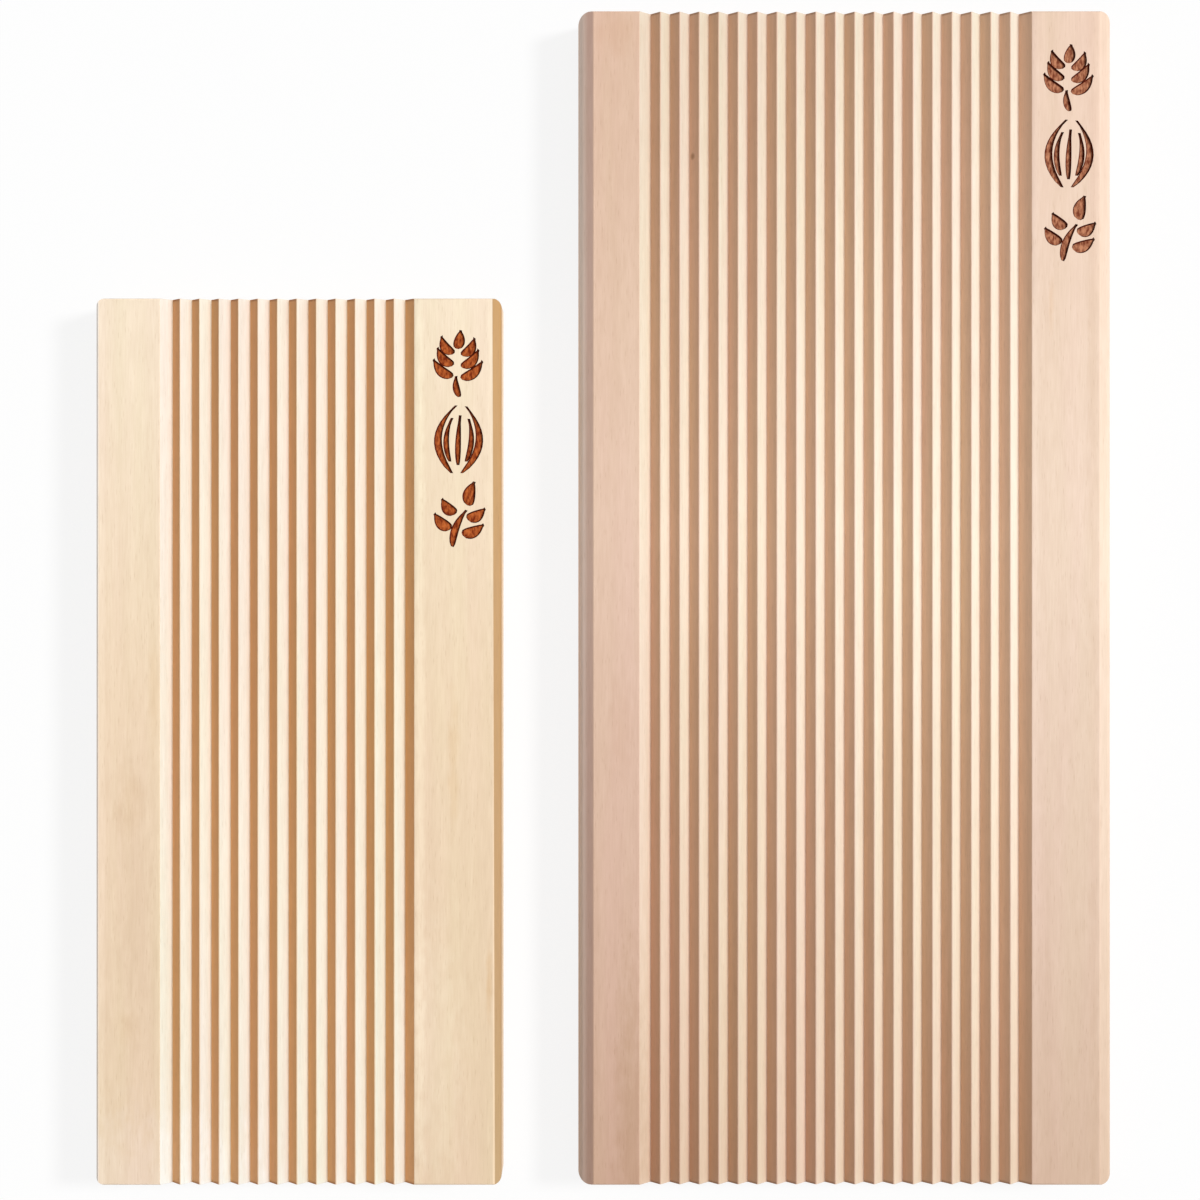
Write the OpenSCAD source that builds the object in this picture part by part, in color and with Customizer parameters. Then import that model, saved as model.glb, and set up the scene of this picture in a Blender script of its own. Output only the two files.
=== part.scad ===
// A set of two wooden gnocchi boards, a large one and a small one, lying side by side on a table.
// Each is planed from one piece of wood, with a field of V grooves along its length between two
// plain margins. Millimetres; the grain and the grooves run along Y, and the table is at Z = 0.

/* [Grooves] */
// Distance from one groove to the next, the same on both boards
groove_pitch = 4.81; // [3.5:0.01:6]
// Angle between the two walls of a groove
groove_angle = 80; // [60:1:100]
// Width of the blunt top that sanding leaves on each ridge
crest_land = 0.3; // [0.1:0.05:0.8]

/* [Large board] */
// Length along the grain
large_length = 290; // [230:1:340]
// Thickness
large_thickness = 15; // [12:0.5:20]
// Number of grooves
large_groove_count = 20; // [12:1:26]
// How far the ridge tops lie below the plain margins
large_crest_drop = 0.65; // [0.1:0.05:1.2]
// Plain margin left of the grooves, out to the side
large_left_margin = 15.1; // [10:0.1:30]
// Plain margin right of the grooves, out to the side
large_right_margin = 19.9; // [12:0.1:40]
// Width of the bevel on the left top edge, seen from above
large_left_bevel = 3.8; // [1:0.1:6]
// Width of the bevel on the right top edge, seen from above
large_right_bevel = 3.2; // [1:0.1:6]
// Radius that blends each bevel into the side below it
large_bevel_blend = 3; // [0.5:0.1:6]
// Radius of the upright corners, seen from above
large_corner_radius = 3; // [0.5:0.1:6]

/* [Small board] */
// Length along the grain
small_length = 219; // [160:1:280]
// Thickness
small_thickness = 15; // [12:0.5:20]
// Number of grooves
small_groove_count = 13; // [8:1:18]
// How far the ridge tops lie below the plain margins
small_crest_drop = 0.35; // [0.1:0.05:1.2]
// Plain margin left of the grooves, out to the side
small_left_margin = 15.8; // [8:0.1:30]
// Plain margin right of the grooves, out to the side
small_right_margin = 21.5; // [10:0.1:40]
// Width of the bevel on the left top edge, seen from above
small_left_bevel = 0.5; // [0.5:0.1:5]
// Width of the bevel on the right top edge, seen from above
small_right_bevel = 2; // [0.5:0.1:5]
// Radius that blends each bevel into the side below it
small_bevel_blend = 1.2; // [0.3:0.1:3]
// Radius of the upright corners, seen from above
small_corner_radius = 2.2; // [0.5:0.1:5]

/* [Edges] */
// Slope of the side bevels, down from the face
bevel_angle = 30; // [20:1:50]
// Size of the eased edge round the underside
foot_ease = 1; // [0.3:0.1:2]
// Size of the eased top edge at each end
end_ease = 0.3; // [0.1:0.05:0.8]

/* [Layout] */
// Gap between the two boards as they lie
board_gap = 19; // [5:1:80]

/* [Hidden] */
$fn = 96;

// How far a cut is carried past the face that it opens through.
cut_clearance = 1;
// How far the two halves of a cross-section run into each other.
half_overlap = 1;
// The most of a bevel's slope that the blend below it may use up.
blend_share = 0.9;

// A groove wall's width seen from above, from the ridge's blunt top to the root.
wall_run = (groove_pitch - crest_land) / 2;
wall_slope = 1 / tan(groove_angle / 2);

// The same width for the outermost walls, which climb past the ridge tops to a plain margin.
function shoulder_run(crest_drop) = wall_run + crest_drop / wall_slope;

// Width of a field of grooves, from one margin to the other.
function field_width(groove_count, crest_drop) =
    (groove_count - 1) * groove_pitch + 2 * shoulder_run(crest_drop);

large_width = large_left_margin + field_width(large_groove_count, large_crest_drop)
    + large_right_margin;
small_width = small_left_margin + field_width(small_groove_count, small_crest_drop)
    + small_right_margin;

// The set is centred on X = 0 and on the large board's middle, and the lower ends lie on one line.
set_width = small_width + board_gap + large_width;
small_x = -set_width / 2;
large_x = small_x + small_width + board_gap;
lower_end = -large_length / 2;

// One pass of the V cutter, with its tip at the root and its sides carried above the face.
module v_cut(crest_drop) {
    root_depth = shoulder_run(crest_drop) * wall_slope;
    half_width = shoulder_run(crest_drop) + cut_clearance / wall_slope;
    polygon([[0, -root_depth], [half_width, cut_clearance], [-half_width, cut_clearance]]);
}

// How far a bevel comes down the side.
function bevel_drop(bevel) = bevel * tan(bevel_angle);

// Half the angle that the surface turns through from a bevel to the side.
half_turn = (90 - bevel_angle) / 2;

// Radius of the blend below a bevel, cut down where the bevel is too narrow for the one asked for.
function blend_radius(bevel, blend) =
    min(blend, blend_share * bevel / cos(bevel_angle) / tan(half_turn));

// The left half of a board's cross-section without grooves: an eased foot, and a bevel whose lower
// edge blends into the side.
module half_blank(width, thickness, bevel, blend) {
    r = blend_radius(bevel, blend);
    run = r * tan(half_turn);
    meeting = thickness - bevel_drop(bevel);
    middle = width / 2 + half_overlap;
    polygon([
        [foot_ease, 0],
        [middle, 0],
        [middle, thickness],
        [bevel, thickness],
        [run * cos(bevel_angle), meeting + run * sin(bevel_angle)],
        [0, meeting - run],
        [0, foot_ease]
    ]);
    translate([r, meeting - run])
        circle(r);
}

// The whole cross-section without grooves.
module blank(width, thickness, left_bevel, right_bevel, blend) {
    half_blank(width, thickness, left_bevel, blend);
    translate([width, 0])
        mirror([1, 0])
            half_blank(width, thickness, right_bevel, blend);
}

// The blank with its V cuts, and the ridges sanded down to one level.
module section(width, thickness, groove_count, crest_drop, left_margin,
               left_bevel, right_bevel, blend) {
    first_root = left_margin + shoulder_run(crest_drop);
    root_span = (groove_count - 1) * groove_pitch;
    difference() {
        blank(width, thickness, left_bevel, right_bevel, blend);
        for (i = [0 : groove_count - 1])
            translate([first_root + i * groove_pitch, thickness])
                v_cut(crest_drop);
        translate([first_root, thickness - crest_drop])
            square([root_span, crest_drop + cut_clearance]);
    }
}

// Outline seen from above, with round corners.
module plan(width, length, r) {
    translate([r, 0])
        square([width - 2 * r, length]);
    translate([0, r])
        square([width, length - 2 * r]);
    for (x = [r, width - r], y = [r, length - r])
        translate([x, y])
            circle(r);
}

// Outline seen from the side, with the end edges eased above and below.
module profile(length, thickness) {
    polygon([
        [foot_ease, 0],
        [length - foot_ease, 0],
        [length, foot_ease],
        [length, thickness - end_ease],
        [length - end_ease, thickness],
        [end_ease, thickness],
        [0, thickness - end_ease],
        [0, foot_ease]
    ]);
}

// A whole board, with its lower left corner at the origin: the solid that all three outlines share.
module board(width, length, thickness, groove_count, crest_drop, left_margin,
             left_bevel, right_bevel, blend, corner_radius) {
    intersection() {
        translate([0, length, 0])
            rotate([90, 0, 0])
                linear_extrude(length)
                    section(width, thickness, groove_count, crest_drop, left_margin,
                            left_bevel, right_bevel, blend);
        linear_extrude(thickness)
            plan(width, length, corner_radius);
        rotate([90, 0, 90])
            linear_extrude(width)
                profile(length, thickness);
    }
}

module large_board() {
    color([0.87, 0.72, 0.60])
        translate([large_x, lower_end, 0])
            board(large_width, large_length, large_thickness, large_groove_count,
                  large_crest_drop, large_left_margin, large_left_bevel, large_right_bevel,
                  large_bevel_blend, large_corner_radius);
}

module small_board() {
    color([0.92, 0.81, 0.65])
        translate([small_x, lower_end, 0])
            board(small_width, small_length, small_thickness, small_groove_count,
                  small_crest_drop, small_left_margin, small_left_bevel, small_right_bevel,
                  small_bevel_blend, small_corner_radius);
}

large_board();
small_board();
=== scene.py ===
import math
from types import SimpleNamespace

import bmesh
import bpy
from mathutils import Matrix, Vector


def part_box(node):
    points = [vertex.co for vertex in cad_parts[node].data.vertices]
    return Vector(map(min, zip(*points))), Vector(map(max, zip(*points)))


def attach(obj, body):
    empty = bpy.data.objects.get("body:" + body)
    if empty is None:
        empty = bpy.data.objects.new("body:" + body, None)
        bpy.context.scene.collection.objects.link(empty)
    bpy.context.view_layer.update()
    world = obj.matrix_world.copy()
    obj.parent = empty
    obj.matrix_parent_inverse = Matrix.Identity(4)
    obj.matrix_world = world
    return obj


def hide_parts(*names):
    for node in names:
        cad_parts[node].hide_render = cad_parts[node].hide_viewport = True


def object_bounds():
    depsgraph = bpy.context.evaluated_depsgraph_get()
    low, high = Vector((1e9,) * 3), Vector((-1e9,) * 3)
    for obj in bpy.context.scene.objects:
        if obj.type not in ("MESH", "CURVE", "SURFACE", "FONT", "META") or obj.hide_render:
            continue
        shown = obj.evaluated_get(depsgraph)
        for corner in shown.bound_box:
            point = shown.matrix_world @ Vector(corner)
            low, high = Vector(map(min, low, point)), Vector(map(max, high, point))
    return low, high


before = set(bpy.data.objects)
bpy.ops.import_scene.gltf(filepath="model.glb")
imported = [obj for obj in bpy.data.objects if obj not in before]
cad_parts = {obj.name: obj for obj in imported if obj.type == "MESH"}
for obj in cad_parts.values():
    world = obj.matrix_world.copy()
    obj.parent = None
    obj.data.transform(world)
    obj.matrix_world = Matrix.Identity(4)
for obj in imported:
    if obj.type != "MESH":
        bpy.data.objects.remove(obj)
CAD_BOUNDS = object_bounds()

MM = 0.001

# Grooves, the same on both boards, in metres.
PITCH = 4.81 * MM
GROOVE_ANGLE = math.radians(80)
WALL_SLOPE = 1 / math.tan(GROOVE_ANGLE / 2)
CREST_LAND = 0.3 * MM
WALL_RUN = (PITCH - CREST_LAND) / 2

# Edges.
FOOT_EASE = 1.0 * MM
END_EASE = 0.3 * MM
BEVEL_ANGLE = math.radians(30)
BLEND_SHARE = 0.9
BLEND_STEPS = 8
ARRIS_SOFTENING = 0.16 * MM
ROOT_SOFTENING = 0.3 * MM
ARRIS_SHARE = 0.4
ARRIS_ANGLE = math.radians(20)
ARC_STEP = math.radians(25)
SMOOTH_ANGLE = math.radians(30)
END_SOFTENING = 0.1 * MM
END_STEPS = 3
CORNER_STEPS = 10
OUTLINE_CLEARANCE = 0.01 * MM
CUT_OVERRUN = 5 * MM
STRAIGHT_ANGLE = math.radians(2)

# The two boards: what each has of its own.
BOARDS = {
    "large_board": dict(
        grooves=20, crest_drop=0.65 * MM, left_margin=15.1 * MM,
        left_bevel=3.8 * MM, right_bevel=3.2 * MM, blend=3.0 * MM, corner=3.0 * MM,
        slot="pink_beech", motif_start=16.6 * MM, motif_aside=1.2 * MM, motif_scale=1.1,
    ),
    "small_board": dict(
        grooves=13, crest_drop=0.35 * MM, left_margin=15.8 * MM,
        left_bevel=0.5 * MM, right_bevel=2.0 * MM, blend=1.2 * MM, corner=2.2 * MM,
        slot="pale_beech", motif_start=16.2 * MM, motif_aside=1.6 * MM, motif_scale=1.1,
    ),
}

# Camera over the middle of the set, as in the photograph.
PHOTO_PIXELS = 1200
METRES_PER_PIXEL = 0.247 * MM
CAMERA_HEIGHT = 600 * MM
SENSOR = 36.0
SET_CENTRE_PIXEL = (604.3, 598)

# Light.
KEY_STRENGTH = 2.6
KEY_ELEVATION = math.radians(46)
KEY_AZIMUTH = math.radians(15)
KEY_SPREAD = math.radians(12)
FILL_STRENGTH = 0.42
FLOOR_SIZE = 8.0
FLOOR_ALBEDO = 0.9
FLOOR_ROUGHNESS = 0.9
FLOOR_WHITENESS = 0.86


def add_node(tree, kind, inputs=None, **settings):
    """A shader node with its settings and inputs; an input may be a value or another node's output."""
    node = tree.nodes.new(kind)
    for name, value in settings.items():
        setattr(node, name, value)
    for key, value in (inputs or {}).items():
        socket = node.inputs[key]
        if isinstance(value, bpy.types.NodeSocket):
            tree.links.new(value, socket)
        else:
            socket.default_value = value
    return node


def maths(tree, operation, a, b=0.0):
    return add_node(tree, "ShaderNodeMath", {0: a, 1: b}, operation=operation).outputs[0]


def vector_maths(tree, operation, a, b):
    return add_node(tree, "ShaderNodeVectorMath", {0: a, 1: b}, operation=operation).outputs[0]


def remap(tree, value, low, high, to_low=0.0, to_high=1.0, smooth=False):
    kind = "SMOOTHSTEP" if smooth else "LINEAR"
    node = add_node(
        tree, "ShaderNodeMapRange",
        {"Value": value, "From Min": low, "From Max": high, "To Min": to_low, "To Max": to_high},
        interpolation_type=kind, clamp=True,
    )
    return node.outputs[0]


def mix_colour(tree, factor, a, b, blend="MIX"):
    node = add_node(tree, "ShaderNodeMix", {0: factor, 6: a, 7: b}, data_type="RGBA", blend_type=blend)
    return node.outputs[2]


def srgb(r, g, b):
    """A colour read off the photograph in 0 to 255, as the linear colour a shader takes."""
    def linear(value):
        value /= 255
        return value / 12.92 if value <= 0.04045 else ((value + 0.055) / 1.055) ** 2.4
    return (linear(r), linear(g), linear(b), 1.0)


def noise(tree, position, frequency, detail, offset):
    """Noise from 0 to 1 whose features are 1/frequency millimetres along each axis."""
    scaled = vector_maths(tree, "MULTIPLY", position, frequency)
    moved = vector_maths(tree, "ADD", scaled, (offset, offset, offset))
    settings = {"Vector": moved, "Scale": 1.0, "Detail": detail, "Roughness": NOISE_ROUGHNESS}
    return add_node(tree, "ShaderNodeTexNoise", settings).outputs["Fac"]


def new_material(name):
    material = bpy.data.materials.new(name)
    material.use_nodes = True
    tree = material.node_tree
    tree.nodes.clear()
    shader = add_node(tree, "ShaderNodeBsdfPrincipled", {"IOR": WOOD_IOR, "Specular IOR Level": WOOD_SHINE})
    output = add_node(tree, "ShaderNodeOutputMaterial")
    tree.links.new(shader.outputs[0], output.inputs[0])
    return material, tree, shader


def position_mm(tree):
    coordinates = add_node(tree, "ShaderNodeTexCoord")
    return vector_maths(tree, "MULTIPLY", coordinates.outputs["Object"], (1 / MM, 1 / MM, 1 / MM))


# Layers of the grain: features per millimetre across it and along it, detail, place in the noise,
# and for some their depth of tone.
STREAKS = dict(across=0.40, along=0.006, detail=3.0, seed=3, depth=0.11)
FIBRES = dict(across=2.6, along=0.14, detail=3.0, seed=5, depth=0.20)
MOTTLE = dict(across=0.75, along=0.12, detail=3.0, seed=11, depth=0.15)
BROAD = dict(across=0.02, along=0.008, detail=2.0, seed=7, depth=0.12)
DRIFT = dict(across=0.11, along=0.007, detail=2.0, seed=13)
BLOTCHES = dict(across=0.45, along=0.22, detail=4.0, seed=17)
PORES = dict(across=7.0, along=1.0, detail=2.0, seed=9)
RING_WANDER = dict(across=0.03, along=0.003, detail=2.0, seed=0)
BURN_MOTTLE = dict(across=1.6, along=0.7, detail=3.0, seed=0)
BURN_FIBRES = dict(across=5.0, along=0.4, detail=2.0, seed=2)
NOISE_ROUGHNESS = 0.55

# How the layers add up to the grain.
GRAIN_LEVEL = 1.02
RED_POWER = 0.8
BLUE_POWER = 1.25
DRIFT_RANGE = (0.35, 0.65)
PINKER = (1.005, 0.985, 1.0)
YELLOWER = (0.995, 1.01, 0.98)
RING_WIDTH = 3.1
RING_SHIFT = 9.0
RING_SHARPNESS = 4.0
RING_DEPTH = 0.02
END_RING_DEPTH = 0.12
FLECKS_PER_MM = (2.3, 0.30, 2.3)
FLECK_RADIUS = (0.10, 0.36)
FLECK_CHOICE = (0.40, 0.75)
FLECK_DEPTH = 0.10

# Where tints start and stop. A facing is how much of the normal points that way, from none of the
# tint to all of it. The rest are millimetres, or shares.
END_FACING = (0.6, 0.9)
WALL_FACING = (0.35, 0.6)
TOP_FACING = (0.05, 0.5)
MIDDLE_PLACE = 0.55
FIELD_EDGE = 0.1
ROOT_SHADE = (0.1, 1.1)
# Where the shaded groove walls get darker near the ends, in millimetres from the end.
END_DARKENING = (0.1, 0.8)
STRIP_FADE = 7.0
STRIP_LOW_SHARE = 0.2
PATCH_BREAKUP = 1.6
PATCH_EDGE = (0.9, 2.0)
PORE_RANGE = (0.45, 0.7)
PORE_SHARE = 0.80
END_GRAIN_DARK = (0.66, 0.56, 0.46)
END_GRAIN_PALE = (0.88, 0.82, 0.76)

# The surface itself, bare and burnt.
WOOD_IOR = 1.45
WOOD_SHINE = 0.3
FIBRE_RANGE = (0.3, 0.7)
WOOD_ROUGHNESS = (0.50, 0.66)
WOOD_BUMP = dict(Strength=0.35, Distance=0.05 * MM)
BUMP_SHARE = 0.5
BURN_RANGE = (0.55, 0.85)
BURN_FIBRE_SHARE = 0.4
BURN_ROUGHNESS = 0.8
BURN_SHINE = 0.1
BURN_BUMP = dict(Strength=0.6, Distance=0.1 * MM)


def layer_noise(tree, position, layer, seed):
    frequency = (layer["across"], layer["along"], layer["across"])
    return noise(tree, position, frequency, layer["detail"], seed + layer["seed"])


def length_of(tree, vector):
    return add_node(tree, "ShaderNodeVectorMath", {0: vector}, operation="LENGTH").outputs["Value"]


def split_vector(tree, vector):
    return add_node(tree, "ShaderNodeSeparateXYZ", {0: vector}).outputs


def weighted_sum(tree, start, terms):
    """start plus every output in terms times its weight."""
    total = start
    for output, weight in terms:
        total = maths(tree, "ADD", total, maths(tree, "MULTIPLY", output, weight))
    return total


def tinted(tree, colour, share, tint):
    """The colour, multiplied by the tint as far as share says. The tint is three numbers or an output."""
    tint = (*tint, 1.0) if isinstance(tint, tuple) else tint
    full = mix_colour(tree, 1.0, colour, tint, "MULTIPLY")
    return mix_colour(tree, share, colour, full)


def graded(tree, along, foot_tint, head_tint):
    """A tint that changes from the foot of the board to its head."""
    return mix_colour(tree, along, (*foot_tint, 1.0), (*head_tint, 1.0))


def growth_rings(tree, p, pith, seed):
    """0 in the pale early wood and 1 on the dark line of each growth ring."""
    wander = layer_noise(tree, p, RING_WANDER, seed)
    flat = vector_maths(tree, "MULTIPLY", p, (1, 0, 1))
    radius = length_of(tree, vector_maths(tree, "SUBTRACT", flat, (pith[0], 0, pith[1])))
    radius = maths(tree, "ADD", radius, maths(tree, "MULTIPLY", wander, RING_SHIFT))
    phase = maths(tree, "SINE", maths(tree, "MULTIPLY", radius, 2 * math.pi / RING_WIDTH))
    return maths(tree, "POWER", remap(tree, phase, -1, 1), RING_SHARPNESS)


def ray_flecks(tree, p):
    """1 on the short dark dashes along the grain, which lie in some of the cells only."""
    cells = add_node(
        tree, "ShaderNodeTexVoronoi",
        {"Vector": vector_maths(tree, "MULTIPLY", p, FLECKS_PER_MM), "Scale": 1.0, "Randomness": 1.0},
        feature="F1",
    )
    spot = remap(tree, cells.outputs["Distance"], *FLECK_RADIUS, 1.0, 0.0, smooth=True)
    chosen = add_node(tree, "ShaderNodeSeparateColor", {0: cells.outputs["Color"]})
    return maths(tree, "MULTIPLY", spot, remap(tree, chosen.outputs[0], *FLECK_CHOICE))


def soft_patch(tree, p, roughness, centre, reach):
    """1 inside a patch of the face and 0 outside it, with a soft edge that the grain breaks up."""
    offset = vector_maths(tree, "SUBTRACT", p, (*centre, 0.0))
    distance = length_of(tree, vector_maths(tree, "MULTIPLY", offset, (1 / reach[0], 1 / reach[1], 0.0)))
    distance = weighted_sum(tree, distance, [(roughness, PATCH_BREAKUP)])
    return remap(tree, distance, *PATCH_EDGE, 1.0, 0.0, smooth=True)


def surface_of(tree, node, seed):
    """What the wood's colour depends on: places in millimetres, the facing, and the board's own box."""
    board = BOARDS[node]
    low, high = (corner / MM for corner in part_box(node))
    first, last = (x / MM for x in field_range(board, *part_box(node)))
    p = position_mm(tree)
    x, y, z = split_vector(tree, p)
    facing = split_vector(tree, add_node(tree, "ShaderNodeTexCoord").outputs["Normal"])
    end = remap(tree, maths(tree, "ABSOLUTE", facing[1]), *END_FACING, smooth=True)
    return SimpleNamespace(
        tree=tree, board=board, seed=seed, low=low, high=high, field=(first, last),
        p=p, x=x, y=y, z=z, along=remap(tree, y, low.y, high.y),
        facing=facing, end=end, off_ends=remap(tree, end, 0, 1, 1.0, 0.0),
    )


def colour_by_place(s, tones):
    """The colour along the board, with a painted falloff of the light that darkens the foot, then a tint
    towards the left side.
    """
    ramp = add_node(s.tree, "ShaderNodeValToRGB", {"Fac": s.along})
    elements = ramp.color_ramp.elements
    elements[0].color, elements[1].color = tones["foot"], tones["head"]
    elements.new(MIDDLE_PLACE).color = tones["middle"]
    leftness = remap(s.tree, s.x, s.low.x, s.high.x, 1.0, 0.0)
    return tinted(s.tree, ramp.outputs[0], leftness, tones["left_tint"])


def add_grain(s, colour, pith, fibres, flecks):
    """Grain as one brightness factor, which shifts the hue a little too, and a slow drift of hue."""
    tree = s.tree
    rings = growth_rings(tree, s.p, pith, s.seed)
    ring_depth = remap(tree, s.end, 0, 1, RING_DEPTH, END_RING_DEPTH)
    layers = (
        (layer_noise(tree, s.p, STREAKS, s.seed), STREAKS), (fibres, FIBRES),
        (layer_noise(tree, s.p, MOTTLE, s.seed), MOTTLE), (layer_noise(tree, s.p, BROAD, s.seed), BROAD),
    )
    start = GRAIN_LEVEL - sum(layer["depth"] / 2 for _, layer in layers)
    terms = [(output, layer["depth"]) for output, layer in layers]
    terms += [(maths(tree, "MULTIPLY", rings, ring_depth), -1.0), (flecks, -FLECK_DEPTH)]
    value = weighted_sum(tree, start, terms)
    red, blue = maths(tree, "POWER", value, RED_POWER), maths(tree, "POWER", value, BLUE_POWER)
    grain = add_node(tree, "ShaderNodeCombineColor", {0: red, 1: value, 2: blue})
    colour = mix_colour(tree, 1.0, colour, grain.outputs[0], "MULTIPLY")
    drift = remap(tree, layer_noise(tree, s.p, DRIFT, s.seed), *DRIFT_RANGE)
    return tinted(tree, colour, 1.0, graded(tree, drift, PINKER, YELLOWER))


def add_patches(s, colour, patches):
    """Patches where the wood is darker or paler, each placed from the board's left side and its foot."""
    roughness = layer_noise(s.tree, s.p, BLOTCHES, s.seed)
    for (from_left, from_foot), reach, tint in patches:
        centre = (s.low.x + from_left, s.low.y + from_foot)
        patch = soft_patch(s.tree, s.p, roughness, centre, reach)
        colour = tinted(s.tree, colour, maths(s.tree, "MULTIPLY", patch, s.off_ends), tint)
    return colour


def add_painted_wall_light_and_shade(s, colour, walls):
    """Painted light and shade on the two walls of a groove: a darker, warmer painted shade on the wall
    facing away from the key light, and a paler painted light on the wall facing it. Painted shade darkens
    them down at the root, and the wall in the shade is darker where it breaks out at the ends."""
    tree = s.tree
    first, last = s.field
    after_first = remap(tree, s.x, first - FIELD_EDGE, first + FIELD_EDGE)
    before_last = remap(tree, s.x, last - FIELD_EDGE, last + FIELD_EDGE, 1.0, 0.0)
    in_field = maths(tree, "MULTIPLY", after_first, before_last)
    root_z = s.high.z - shoulder_run(s.board) * WALL_SLOPE / MM
    near_root = remap(tree, s.z, *(root_z + rise for rise in ROOT_SHADE), 1.0, 0.0, smooth=True)
    from_foot, from_head = maths(tree, "SUBTRACT", s.y, s.low.y), maths(tree, "SUBTRACT", s.high.y, s.y)
    from_end = maths(tree, "MINIMUM", from_foot, from_head)
    at_end = remap(tree, from_end, *END_DARKENING, 1.0, 0.0, smooth=True)
    for direction, foot_tint, head_tint, painted_root_shade, end_tint in walls:
        turned = remap(tree, s.facing[0], *(direction * part for part in WALL_FACING))
        wall = maths(tree, "MULTIPLY", turned, in_field)
        colour = tinted(tree, colour, wall, graded(tree, s.along, foot_tint, head_tint))
        colour = tinted(tree, colour, maths(tree, "MULTIPLY", wall, near_root), painted_root_shade)
        colour = tinted(tree, colour, maths(tree, "MULTIPLY", wall, at_end), end_tint)
    return colour


def add_side_strips(s, colour, strips):
    """Strips along the side edges, most of them painted light or painted shade on the bevels. Their width
    changes from foot to head, and they leave the ends alone.
    """
    tree = s.tree
    start, full = s.high.z - STRIP_FADE, s.high.z - STRIP_FADE / 3
    top = remap(tree, s.z, start, full, STRIP_LOW_SHARE, 1.0, smooth=True)
    top = maths(tree, "MULTIPLY", top, s.off_ends)
    distances = {
        "left": maths(tree, "SUBTRACT", s.x, s.low.x), "right": maths(tree, "SUBTRACT", s.high.x, s.x),
    }
    for side, (foot_width, head_width, fade), side_share, foot_tint, head_tint in strips:
        width = remap(tree, s.along, 0, 1, foot_width, head_width)
        inside = maths(tree, "SUBTRACT", width, distances[side])
        near = maths(tree, "MULTIPLY", remap(tree, inside, 0.0, fade, smooth=True), top)
        facing_up = remap(tree, s.facing[2], *TOP_FACING, side_share, 1.0)
        tint = graded(tree, s.along, foot_tint, head_tint)
        colour = tinted(tree, colour, maths(tree, "MULTIPLY", near, facing_up), tint)
    return colour


def add_end_grain(s, colour):
    """The ends drink in more light, and show their pores."""
    pores = remap(s.tree, layer_noise(s.tree, s.p, PORES, s.seed), *PORE_RANGE, 1.0, PORE_SHARE)
    return tinted(s.tree, colour, s.end, graded(s.tree, pores, END_GRAIN_DARK, END_GRAIN_PALE))


def add_bump(tree, shader, height, settings):
    bump = add_node(tree, "ShaderNodeBump", {"Height": height, **settings})
    tree.links.new(bump.outputs[0], shader.inputs["Normal"])


def wood(name, node, tones, seed):
    """Beech with growth rings round a far pith, long streaks, fine fibres and short ray flecks."""
    material, tree, shader = new_material(name)
    s = surface_of(tree, node, seed)
    fibres = layer_noise(tree, s.p, FIBRES, seed)
    flecks = ray_flecks(tree, s.p)
    colour = colour_by_place(s, tones)
    colour = add_grain(s, colour, tones["pith"], fibres, flecks)
    colour = add_patches(s, colour, tones["patches"])
    colour = add_painted_wall_light_and_shade(s, colour, tones["walls"])
    colour = add_side_strips(s, colour, tones["strips"])
    colour = add_end_grain(s, colour)
    tree.links.new(colour, shader.inputs["Base Color"])
    tree.links.new(remap(tree, fibres, *FIBRE_RANGE, *WOOD_ROUGHNESS), shader.inputs["Roughness"])
    height = weighted_sum(tree, 0.0, [(fibres, BUMP_SHARE), (flecks, -BUMP_SHARE)])
    add_bump(tree, shader, height, WOOD_BUMP)
    return material


def burnt(name, dark, light, seed):
    """Scorched wood in the bottom or on the walls of an engraved stroke."""
    material, tree, shader = new_material(name)
    p = position_mm(tree)
    mottle = layer_noise(tree, p, BURN_MOTTLE, seed)
    fibres = layer_noise(tree, p, BURN_FIBRES, seed)
    blend = remap(tree, weighted_sum(tree, mottle, [(fibres, BURN_FIBRE_SHARE)]), *BURN_RANGE)
    tree.links.new(mix_colour(tree, blend, dark, light), shader.inputs["Base Color"])
    shader.inputs["Roughness"].default_value = BURN_ROUGHNESS
    shader.inputs["Specular IOR Level"].default_value = BURN_SHINE
    add_bump(tree, shader, mottle, BURN_BUMP)
    return material


def object_from(name, mesh_builder, materials=()):
    mesh = bpy.data.meshes.new(name)
    bm = bmesh.new()
    mesh_builder(bm)
    bmesh.ops.recalc_face_normals(bm, faces=bm.faces)
    bm.to_mesh(mesh)
    bm.free()
    made = bpy.data.objects.new(name, mesh)
    for material in materials:
        mesh.materials.append(material)
    bpy.context.scene.collection.objects.link(made)
    return made


def loft(bm, rings, floor_index=0, wall_index=0):
    """A closed solid through rings of points that match one to one."""
    made = [[bm.verts.new(point) for point in ring] for ring in rings]
    bm.faces.new(reversed(made[0])).material_index = floor_index
    bm.faces.new(made[-1]).material_index = wall_index
    for lower, upper in zip(made, made[1:]):
        for i in range(len(lower)):
            j = (i + 1) % len(lower)
            bm.faces.new((lower[i], lower[j], upper[j], upper[i])).material_index = wall_index


def combine(target, tool, operation):
    """target with tool cut from it, or kept only where tool is. The tool is used up."""
    modifier = target.modifiers.new(operation, "BOOLEAN")
    modifier.operation = operation
    modifier.object = tool
    modifier.solver = "MANIFOLD"
    modifier.material_mode = "TRANSFER"
    graph = bpy.context.evaluated_depsgraph_get()
    made = bpy.data.meshes.new_from_object(target.evaluated_get(graph), depsgraph=graph)
    target.modifiers.clear()
    old = target.data
    target.data = made
    bpy.data.meshes.remove(old)
    bpy.data.objects.remove(tool)


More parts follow.
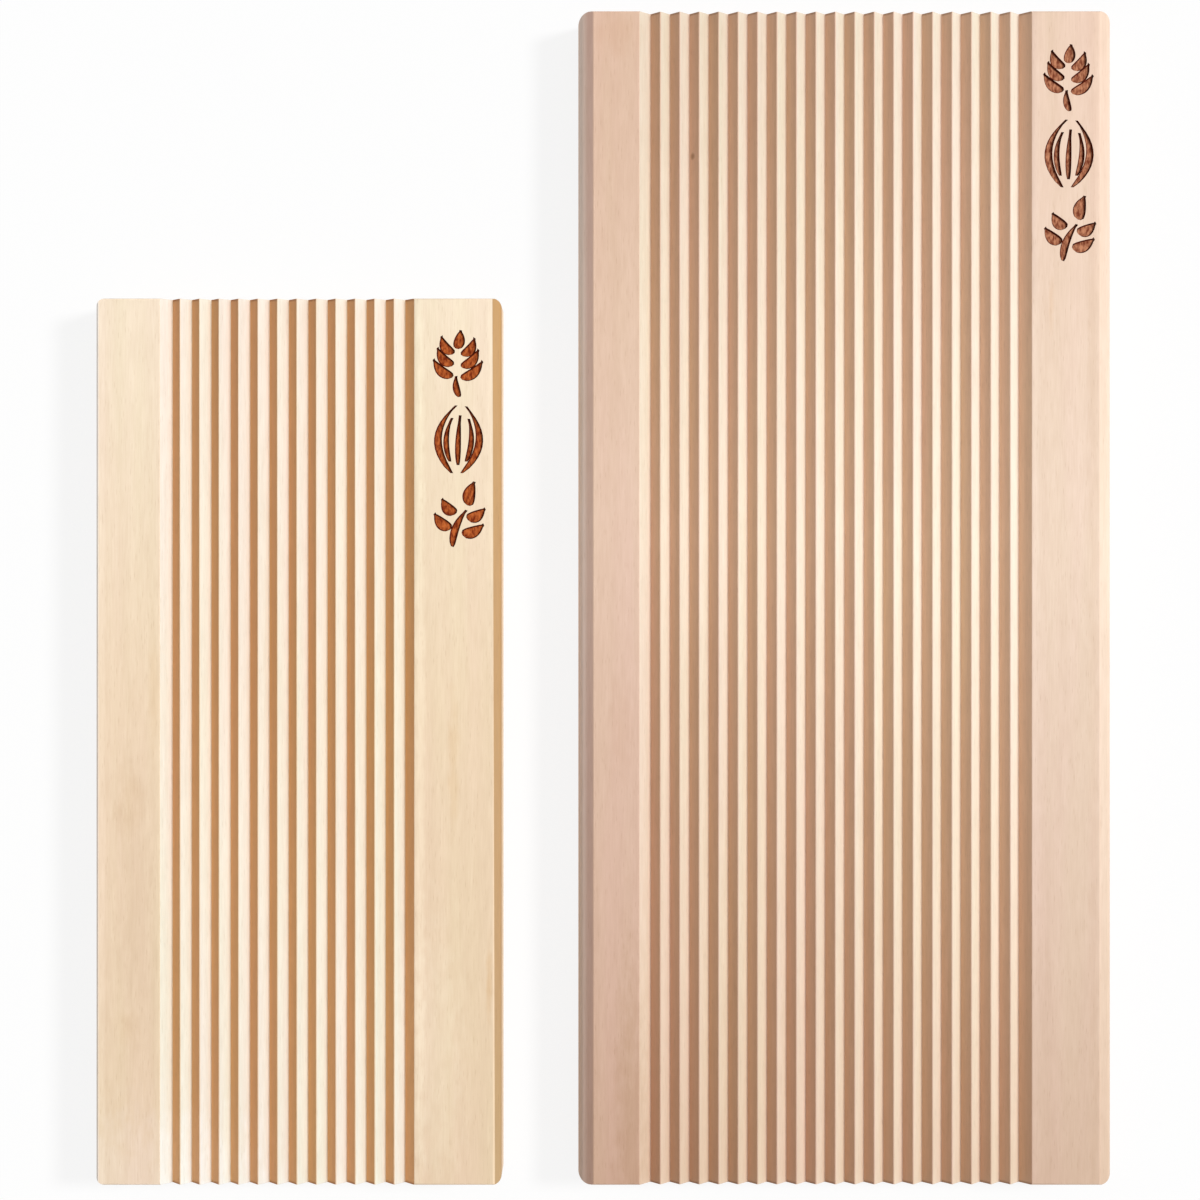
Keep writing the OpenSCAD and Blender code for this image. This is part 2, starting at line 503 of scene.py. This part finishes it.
def bevel_points(bevel, blend):
    """A side bevel and the round blend below it, as (distance in from the side, distance down)."""
    half_turn = (math.pi / 2 - BEVEL_ANGLE) / 2
    r = min(blend, BLEND_SHARE * bevel / math.cos(BEVEL_ANGLE) / math.tan(half_turn))
    centre_down = bevel * math.tan(BEVEL_ANGLE) + r * math.tan(half_turn)
    points = [(bevel, 0.0)]
    for step in range(BLEND_STEPS + 1):
        angle = math.pi / 2 + BEVEL_ANGLE + (math.pi / 2 - BEVEL_ANGLE) * step / BLEND_STEPS
        points.append((r + r * math.cos(angle), centre_down - r * math.sin(angle)))
    return points


def shoulder_run(board):
    """Width of an outermost groove wall, which climbs past the crests to a margin."""
    return WALL_RUN + board["crest_drop"] / WALL_SLOPE


def field_range(board, low, high):
    """Where the field of grooves starts and ends in X."""
    start = low.x + board["left_margin"]
    return start, start + (board["grooves"] - 1) * PITCH + 2 * shoulder_run(board)


def section_points(board, low, high):
    """Cross-section of a board in X and Z, from its left foot round to its left side."""
    shoulder = shoulder_run(board)
    root_z = high.z - shoulder * WALL_SLOPE
    crest_z = high.z - board["crest_drop"]
    first_root = low.x + board["left_margin"] + shoulder
    last_root = first_root + (board["grooves"] - 1) * PITCH
    points = [(low.x + FOOT_EASE, low.z), (high.x - FOOT_EASE, low.z), (high.x, low.z + FOOT_EASE)]
    right = bevel_points(board["right_bevel"], board["blend"])
    points += [(high.x - aside, high.z - down) for aside, down in reversed(right)]
    points.append((last_root + shoulder, high.z))
    for i in reversed(range(board["grooves"])):
        root = first_root + i * PITCH
        points.append((root, root_z))
        if i:
            points += [(root - WALL_RUN, crest_z), (root - PITCH + WALL_RUN, crest_z)]
    points.append((first_root - shoulder, high.z))
    left = bevel_points(board["left_bevel"], board["blend"])
    points += [(low.x + aside, high.z - down) for aside, down in left]
    points.append((low.x, low.z + FOOT_EASE))
    return points


def plan_points(board, low, high):
    """Outline of a board from above, with round corners."""
    r = board["corner"]
    points = []
    for x, y, start in ((high.x - r, high.y - r, 0), (low.x + r, high.y - r, 90),
                        (low.x + r, low.y + r, 180), (high.x - r, low.y + r, 270)):
        for step in range(CORNER_STEPS + 1):
            angle = math.radians(start + 90 * step / CORNER_STEPS)
            points.append((x + r * math.cos(angle), y + r * math.sin(angle)))
    return points


def profile_points(low, high):
    """Outline of a board from the side in Y and Z, with its end edges eased above and below."""
    return [
        (low.y + FOOT_EASE, low.z), (high.y - FOOT_EASE, low.z), (high.y, low.z + FOOT_EASE),
        (high.y, high.z - END_EASE), (high.y - END_EASE, high.z), (low.y + END_EASE, high.z),
        (low.y, high.z - END_EASE), (low.y, low.z + FOOT_EASE),
    ]


def unit_step(start, end):
    """Direction and length of the step from one point to the next."""
    x, y = end[0] - start[0], end[1] - start[1]
    length = math.hypot(x, y)
    return (x / length, y / length), length


def rounded(points):
    """The outline, which runs anticlockwise, with a small arc in place of each sharp corner."""
    made = []
    for i, (x, y) in enumerate(points):
        (ax, ay), arriving_length = unit_step(points[i - 1], points[i])
        (bx, by), leaving_length = unit_step(points[i], points[(i + 1) % len(points)])
        turn = math.atan2(ax * by - ay * bx, ax * bx + ay * by)
        if abs(turn) < ARRIS_ANGLE:
            made.append((x, y))
            continue
        offset = ARRIS_SOFTENING if turn > 0 else ROOT_SOFTENING
        offset = min(offset, ARRIS_SHARE * arriving_length, ARRIS_SHARE * leaving_length)
        steps = max(2, math.ceil(abs(turn) / ARC_STEP))
        chord = 2 * offset / math.tan(abs(turn) / 2) * math.sin(abs(turn) / 2 / steps)
        x, y = x - ax * offset, y - ay * offset
        made.append((x, y))
        for step in range(steps):
            heading = math.atan2(ay, ax) + turn * (step + 0.5) / steps
            x, y = x + chord * math.cos(heading), y + chord * math.sin(heading)
            made.append((x, y))
    return made


def inset(points, amount):
    """The outline, which runs anticlockwise, moved inwards by an amount that may be negative."""
    made = []
    for i, (x, y) in enumerate(points):
        (ax, ay), _ = unit_step(points[i - 1], points[i])
        (bx, by), _ = unit_step(points[i], points[(i + 1) % len(points)])
        share = amount / (1 + ax * bx + ay * by)
        made.append((x - (ay + by) * share, y + (ax + bx) * share))
    return made


def board_rings(section, low, high):
    """Rings of a board from end to end, drawn in a little at both ends to round their edges."""
    near = []
    for step in range(END_STEPS + 1):
        angle = math.pi / 2 * (1 - step / END_STEPS)
        in_from_end = END_SOFTENING * (1 - math.sin(angle))
        near.append((in_from_end, inset(section, END_SOFTENING * (1 - math.cos(angle)))))
    rings = [[(x, low.y + aside, z) for x, z in ring] for aside, ring in near]
    return rings + [[(x, high.y - aside, z) for x, z in ring] for aside, ring in reversed(near)]


# Three small motifs one above the other: an ear of wheat, a ridged dumpling and a sprig.
# A stroke is (start, end, bow, width) in millimetres about the motif's centre.
WHEAT = [((-0.2, -7.4), (-0.9, -2.7), 0.4, 1.5), ((-0.7, 3.4), (0.1, 7.6), -0.2, 2.4)]
WHEAT += [((0.2 + 0.1 * i, -3.3 + 2.6 * i), (5.0 - 0.9 * i, 0.7 + 2.6 * i), -0.8, 2.3) for i in range(3)]
WHEAT += [((-1.7 + 0.1 * i, -2.9 + 2.6 * i), (-6.0 + 0.9 * i, 1.1 + 2.6 * i), 0.8, 2.3) for i in range(3)]
DUMPLING = [((-1.9, -7.6), (-0.9, 7.6), 3.6, 1.7), ((0.3, -7.6), (1.3, 7.4), -3.5, 1.7)]
DUMPLING += [((-2.3, -5.0), (-1.8, 4.8), 1.1, 1.2), ((-0.5, -5.8), (0.0, 5.4), 0.2, 1.2)]
DUMPLING += [((1.3, -5.0), (1.9, 4.6), -0.9, 1.2)]
SPRIG = [((-1.8, -7.2), (1.4, 1.0), 0.8, 1.7), ((1.9, 2.0), (3.2, 7.4), 0.5, 2.8)]
SPRIG += [((-2.1 + 1.1 * i, -3.2 + 3.4 * i), (-5.8 + 1.7 * i, 0.3 + 3.3 * i), 0.6, 2.6) for i in range(2)]
SPRIG += [((0.4 + 1.1 * i, -4.4 + 3.5 * i), (5.3 + 0.3 * i, -2.2 + 3.6 * i), -0.6, 2.6) for i in range(2)]
MOTIFS = (WHEAT, DUMPLING, SPRIG)
MOTIF_SPACING = 18.6 * MM
STROKE_STATIONS = 12
STROKE_DEPTH = 0.6 * MM
STROKE_WALL = 0.24 * MM
STROKE_RISE = 0.3 * MM
STROKE_LEAST = 0.03 * MM
STROKE_LEAD = 0.04
STROKE_LEAN = 0.75
STROKE_FULLNESS = 0.65
STROKE_TIP = 0.18
MARGIN_CELL = 1.5 * MM
LEVEL_FACING = 0.999
LEVEL_TOLERANCE = ARRIS_SOFTENING / 4


def stroke_ring(stroke, centre, scale, grow, z):
    """Outline of one brush-like stroke: full near its start and drawn out to a point."""
    (x0, y0), (x1, y1), bow, width = stroke
    length = math.hypot(x1 - x0, y1 - y0)
    along = ((x1 - x0) / length, (y1 - y0) / length)
    left, right = [], []
    for i in range(STROKE_STATIONS + 1):
        t = i / STROKE_STATIONS
        leaning = min(1.0, (t + STROKE_LEAD) ** STROKE_LEAN)
        swell = math.sin(math.pi * leaning) ** STROKE_FULLNESS if 0 < t < 1 else STROKE_TIP
        half = max((width * swell / 2) * scale * MM + grow, STROKE_LEAST + (grow > 0) * 2 * STROKE_WALL)
        side = bow * 4 * t * (1 - t)
        x = x0 + (x1 - x0) * t - along[1] * side
        y = y0 + (y1 - y0) * t + along[0] * side
        px, py = centre[0] + x * scale * MM, centre[1] + y * scale * MM
        left.append((px - along[1] * half, py + along[0] * half, z))
        right.append((px + along[1] * half, py - along[0] * half, z))
    return left[::-1] + right


def right_margin(board, low, high):
    """The flat part of the right margin, from the last groove to the bevel."""
    return field_range(board, low, high)[1], high.x - board["right_bevel"]


def grid_margin(made, board, low, high):
    """Cuts the right margin's top into small cells, so that each carved stroke crosses simple faces."""
    start, end = right_margin(board, low, high)
    bm = bmesh.new()
    bm.from_mesh(made.data)
    foot = high.y - board["motif_start"] - len(MOTIFS) * MOTIF_SPACING
    planes = [((x, 0, 0), (1, 0, 0)) for x in spaced(start, end, MARGIN_CELL)]
    planes += [((0, y, 0), (0, 1, 0)) for y in spaced(foot, high.y, MARGIN_CELL)]
    for point, normal in planes:
        faces = [
            f for f in bm.faces
            if f.normal.z > LEVEL_FACING and start < f.calc_center_median().x < end
            and abs(f.verts[0].co.z - high.z) < LEVEL_TOLERANCE
        ]
        around = {e for f in faces for e in f.edges} | {v for f in faces for v in f.verts}
        bmesh.ops.bisect_plane(bm, geom=faces + list(around), plane_co=point, plane_no=normal)
    bm.to_mesh(made.data)
    bm.free()


def spaced(start, end, step):
    """Places between start and end, about a step apart, with neither end among them."""
    count = max(2, round((end - start) / step))
    return [start + (end - start) * i / count for i in range(1, count)]


def engrave(made, board, low, high, materials):
    """Cuts the burnt strokes into the right margin, one after another."""
    start, end = right_margin(board, low, high)
    centre_x = (start + end) / 2 + board["motif_aside"]
    scale = board["motif_scale"]
    for row, motif in enumerate(MOTIFS):
        centre = (centre_x, high.y - board["motif_start"] - row * MOTIF_SPACING)
        for stroke in motif:
            rings = (
                stroke_ring(stroke, centre, scale, -STROKE_WALL, high.z - STROKE_DEPTH),
                stroke_ring(stroke, centre, scale, STROKE_WALL, high.z + STROKE_RISE),
            )
            cutter = object_from("cutter", lambda bm: loft(bm, rings, 0, 1), materials)
            combine(made, cutter, "DIFFERENCE")


def drop_needless_points(made):
    """Takes out the points that the cuts left on straight edges, so that each edge is one edge."""
    bm = bmesh.new()
    bm.from_mesh(made.data)
    needless = [v for v in bm.verts if len(v.link_edges) == 2 and v.calc_edge_angle(0) < STRAIGHT_ANGLE]
    bmesh.ops.dissolve_verts(bm, verts=needless)
    bm.to_mesh(made.data)
    bm.free()


def make_board(node, board, material, burnt_materials):
    low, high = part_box(node)
    section = rounded(section_points(board, low, high))
    plan = inset(plan_points(board, low, high), -OUTLINE_CLEARANCE)
    profile = inset(rounded(profile_points(low, high)), -OUTLINE_CLEARANCE)
    over = CUT_OVERRUN

    def solid(name, rings):
        return object_from(name, lambda bm: loft(bm, rings), [material])

    body = solid(node + "_wood", board_rings(section, low, high))
    outline = solid("outline", [[(x, y, z) for x, y in plan] for z in (low.z - over, high.z + over)])
    side = solid("side", [[(x, y, z) for y, z in profile] for x in (low.x - over, high.x + over)])
    combine(body, outline, "INTERSECT")
    combine(body, side, "INTERSECT")
    grid_margin(body, board, low, high)
    engrave(body, board, low, high, burnt_materials)
    drop_needless_points(body)
    for face in body.data.polygons:
        face.use_smooth = True
    body.data.set_sharp_from_angle(angle=SMOOTH_ANGLE)
    weighted = body.modifiers.new("weighted_normals", "WEIGHTED_NORMAL")
    weighted.keep_sharp = True
    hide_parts(node)
    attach(body, node)
    return body


def make_floor():
    half = FLOOR_SIZE / 2
    corners = [(-half, -half, 0), (half, -half, 0), (half, half, 0), (-half, half, 0)]
    material, tree, shader = new_material("white_table")
    shader.inputs["Base Color"].default_value = (FLOOR_ALBEDO, FLOOR_ALBEDO, FLOOR_ALBEDO, 1)
    shader.inputs["Roughness"].default_value = FLOOR_ROUGHNESS
    shader.inputs["Specular IOR Level"].default_value = 0.0
    rays = add_node(tree, "ShaderNodeLightPath")
    seen = maths(tree, "MAXIMUM", rays.outputs["Is Camera Ray"], rays.outputs["Is Glossy Ray"])
    seen = maths(tree, "MAXIMUM", seen, rays.outputs["Is Transmission Ray"])
    glow = add_node(tree, "ShaderNodeEmission", {"Color": (1, 1, 1, 1), "Strength": 1.0})
    share = maths(tree, "MULTIPLY", seen, FLOOR_WHITENESS)
    mixed = add_node(tree, "ShaderNodeMixShader", {0: share, 1: shader.outputs[0], 2: glow.outputs[0]})
    output = next(n for n in tree.nodes if n.type == "OUTPUT_MATERIAL")
    tree.links.new(mixed.outputs[0], output.inputs[0])
    floor = object_from("floor", lambda bm: bm.faces.new([bm.verts.new(c) for c in corners]), [material])


def make_world():
    world = bpy.data.worlds.new("studio")
    bpy.context.scene.world = world
    world.use_nodes = True
    tree = world.node_tree
    tree.nodes.clear()
    rays = add_node(tree, "ShaderNodeLightPath")
    seen = maths(tree, "MAXIMUM", rays.outputs["Is Camera Ray"], rays.outputs["Is Transmission Ray"])
    strength = remap(tree, seen, 0, 1, FILL_STRENGTH, 1.0)
    sky = add_node(tree, "ShaderNodeBackground", {"Color": (1, 1, 1, 1), "Strength": strength})
    output = add_node(tree, "ShaderNodeOutputWorld")
    tree.links.new(sky.outputs[0], output.inputs[0])


def make_key_light():
    lamp = bpy.data.lights.new("key", "SUN")
    lamp.energy = KEY_STRENGTH
    lamp.angle = KEY_SPREAD
    key = bpy.data.objects.new("key", lamp)
    key.rotation_euler = (0, math.pi / 2 - KEY_ELEVATION, KEY_AZIMUTH)
    bpy.context.scene.collection.objects.link(key)


def make_camera():
    lens = bpy.data.cameras.new("camera")
    lens.sensor_width = SENSOR
    lens.lens = SENSOR * CAMERA_HEIGHT / (PHOTO_PIXELS * METRES_PER_PIXEL)
    camera = bpy.data.objects.new("camera", lens)
    top = CAD_BOUNDS[1][2]
    aside = (PHOTO_PIXELS / 2 - SET_CENTRE_PIXEL[0]) * METRES_PER_PIXEL
    along = (SET_CENTRE_PIXEL[1] - PHOTO_PIXELS / 2) * METRES_PER_PIXEL
    camera.location = (aside, along, top + CAMERA_HEIGHT)
    bpy.context.scene.collection.objects.link(camera)
    bpy.context.scene.camera = camera


# Tones of each board: its colours, and the tints that change them, which are linear factors.
# A groove wall is the direction it faces in X, and its tints at the foot, head, root and ends.
# These tints are painted shade on the wall facing -X, away from the key light, and painted light on the
# wall facing +X, with painted shade at its root. The shaded wall is also darker at the ends.
# A patch is (millimetres from the left side and from the foot), (half width, half length), tint.
# A strip is side, (width at the foot, at the head, of its soft edge), its share on the upright side,
# tint at the foot, at the head.
LARGE_TONES = dict(
    # foot, middle and head carry a painted falloff of the light, darker towards the foot. left_tint darkens
    # the left side.
    foot=srgb(215, 184, 162), middle=srgb(243, 217, 197), head=srgb(238, 209, 187),
    left_tint=(0.865, 0.79, 0.75), pith=(70.0, -95.0),
    # walls: painted shade on the walls facing -X, painted light on those facing +X
    walls=(
        (-1, (1.06, 0.92, 0.78), (0.99, 0.865, 0.755), (1.0, 1.0, 1.0), (0.60, 0.54, 0.50)),
        (1, (1.08, 1.26, 1.29), (0.93, 1.15, 1.22), (0.95, 0.90, 0.89), (1.0, 1.0, 1.0)),
    ),
    patches=(
        ((13.0, 8.7), (4.6, 58.0), (0.90, 0.86, 0.81)),
        ((10.6, 111.8), (3.4, 15.0), (0.96, 0.94, 0.92)),
        ((9.5, 285.4), (7.0, 7.5), (0.97, 0.94, 0.91)),
        ((28.4, 254.5), (0.5, 0.9), (0.55, 0.50, 0.45)),
        ((116.8, 217.2), (0.9, 8.0), (0.96, 0.92, 0.86)),
        ((112.9, 165.0), (1.4, 260.0), (1.04, 1.06, 1.08)),
        ((127.4, 165.0), (1.7, 320.0), (0.97, 0.95, 0.93)),
    ),
    # strips: painted shade on the inner left bevel, a painted light of bounce from the table on its outer
    # part, and a slightly darker right bevel
    strips=(
        ("left", (3.8, 3.8, 0.4), 0.0, (0.88, 0.86, 0.93), (0.88, 0.86, 0.93)),
        ("left", (2.6, 2.6, 2.0), 0.0, (1.32, 1.56, 1.66), (1.32, 1.56, 1.66)),
        ("right", (3.3, 3.3, 0.6), 0.0, (0.915, 0.935, 0.93), (0.915, 0.935, 0.93)),
    ),
)
SMALL_TONES = dict(
    # foot, middle and head carry a painted falloff of the light, darker towards the foot
    foot=srgb(229, 203, 172), middle=srgb(238, 214, 182), head=srgb(247, 228, 201),
    left_tint=(1.0, 1.0, 1.02), pith=(-60.0, -120.0),
    # walls: painted shade on the walls facing -X, painted light on those facing +X
    walls=(
        (-1, (1.07, 0.72, 0.44), (0.83, 0.51, 0.29), (1.0, 1.0, 1.0), (0.62, 0.50, 0.42)),
        (1, (0.945, 1.18, 1.46), (0.87, 0.96, 1.09), (0.96, 0.90, 0.88), (1.0, 1.0, 1.0)),
    ),
    patches=(
        ((9.9, 69.3), (7.0, 45.0), (0.94, 0.925, 0.91)),
        ((8.2, 94.4), (4.0, 10.0), (0.97, 0.95, 0.92)),
        ((14.4, 122.4), (1.5, 18.0), (0.97, 0.94, 0.90)),
        ((7.8, 38.9), (4.0, 6.0), (0.97, 0.95, 0.92)),
        ((88.3, 104.6), (1.6, 19.0), (0.96, 0.92, 0.86)),
        ((97.1, 50.7), (1.0, 11.0), (0.94, 0.87, 0.77)),
        ((80.0, 110.0), (1.5, 260.0), (1.08, 1.12, 1.14)),
        ((8.0, 0.0), (40.0, 22.0), (1.06, 1.10, 1.19)),
        ((83.0, 30.0), (9.0, 40.0), (1.05, 1.09, 1.12)),
    ),
    # strips: painted light on the left bevel, which faces away from the key light, and a darker tan along
    # the right edge that runs down the side
    strips=(
        ("left", (2.6, 2.6, 0.8), 0.0, (1.06, 1.08, 1.11), (1.04, 1.05, 1.07)),
        ("left", (0.8, 0.8, 0.4), 0.0, (1.04, 1.12, 1.30), (1.0, 1.10, 1.30)),
        ("right", (1.75, 2.35, 0.3), 0.8, (0.60, 0.51, 0.38), (0.55, 0.38, 0.20)),
    ),
)

make_camera()
make_world()
make_key_light()
make_floor()
large_wood = wood("pink_beech_grain", "large_board", LARGE_TONES, seed=11.0)
small_wood = wood("pale_beech_grain", "small_board", SMALL_TONES, seed=47.0)
wall_burn = burnt("burnt_wall", srgb(60, 16, 8), srgb(112, 40, 20), seed=8.0)
large_burn = burnt("large_burnt_floor", srgb(122, 58, 36), srgb(206, 140, 104), seed=5.0)
small_burn = burnt("small_burnt_floor", srgb(118, 38, 10), srgb(204, 108, 52), seed=6.0)
make_board("large_board", BOARDS["large_board"], large_wood, (large_burn, wall_burn))
make_board("small_board", BOARDS["small_board"], small_wood, (small_burn, wall_burn))

bpy.context.scene.view_settings.view_transform = "Standard"
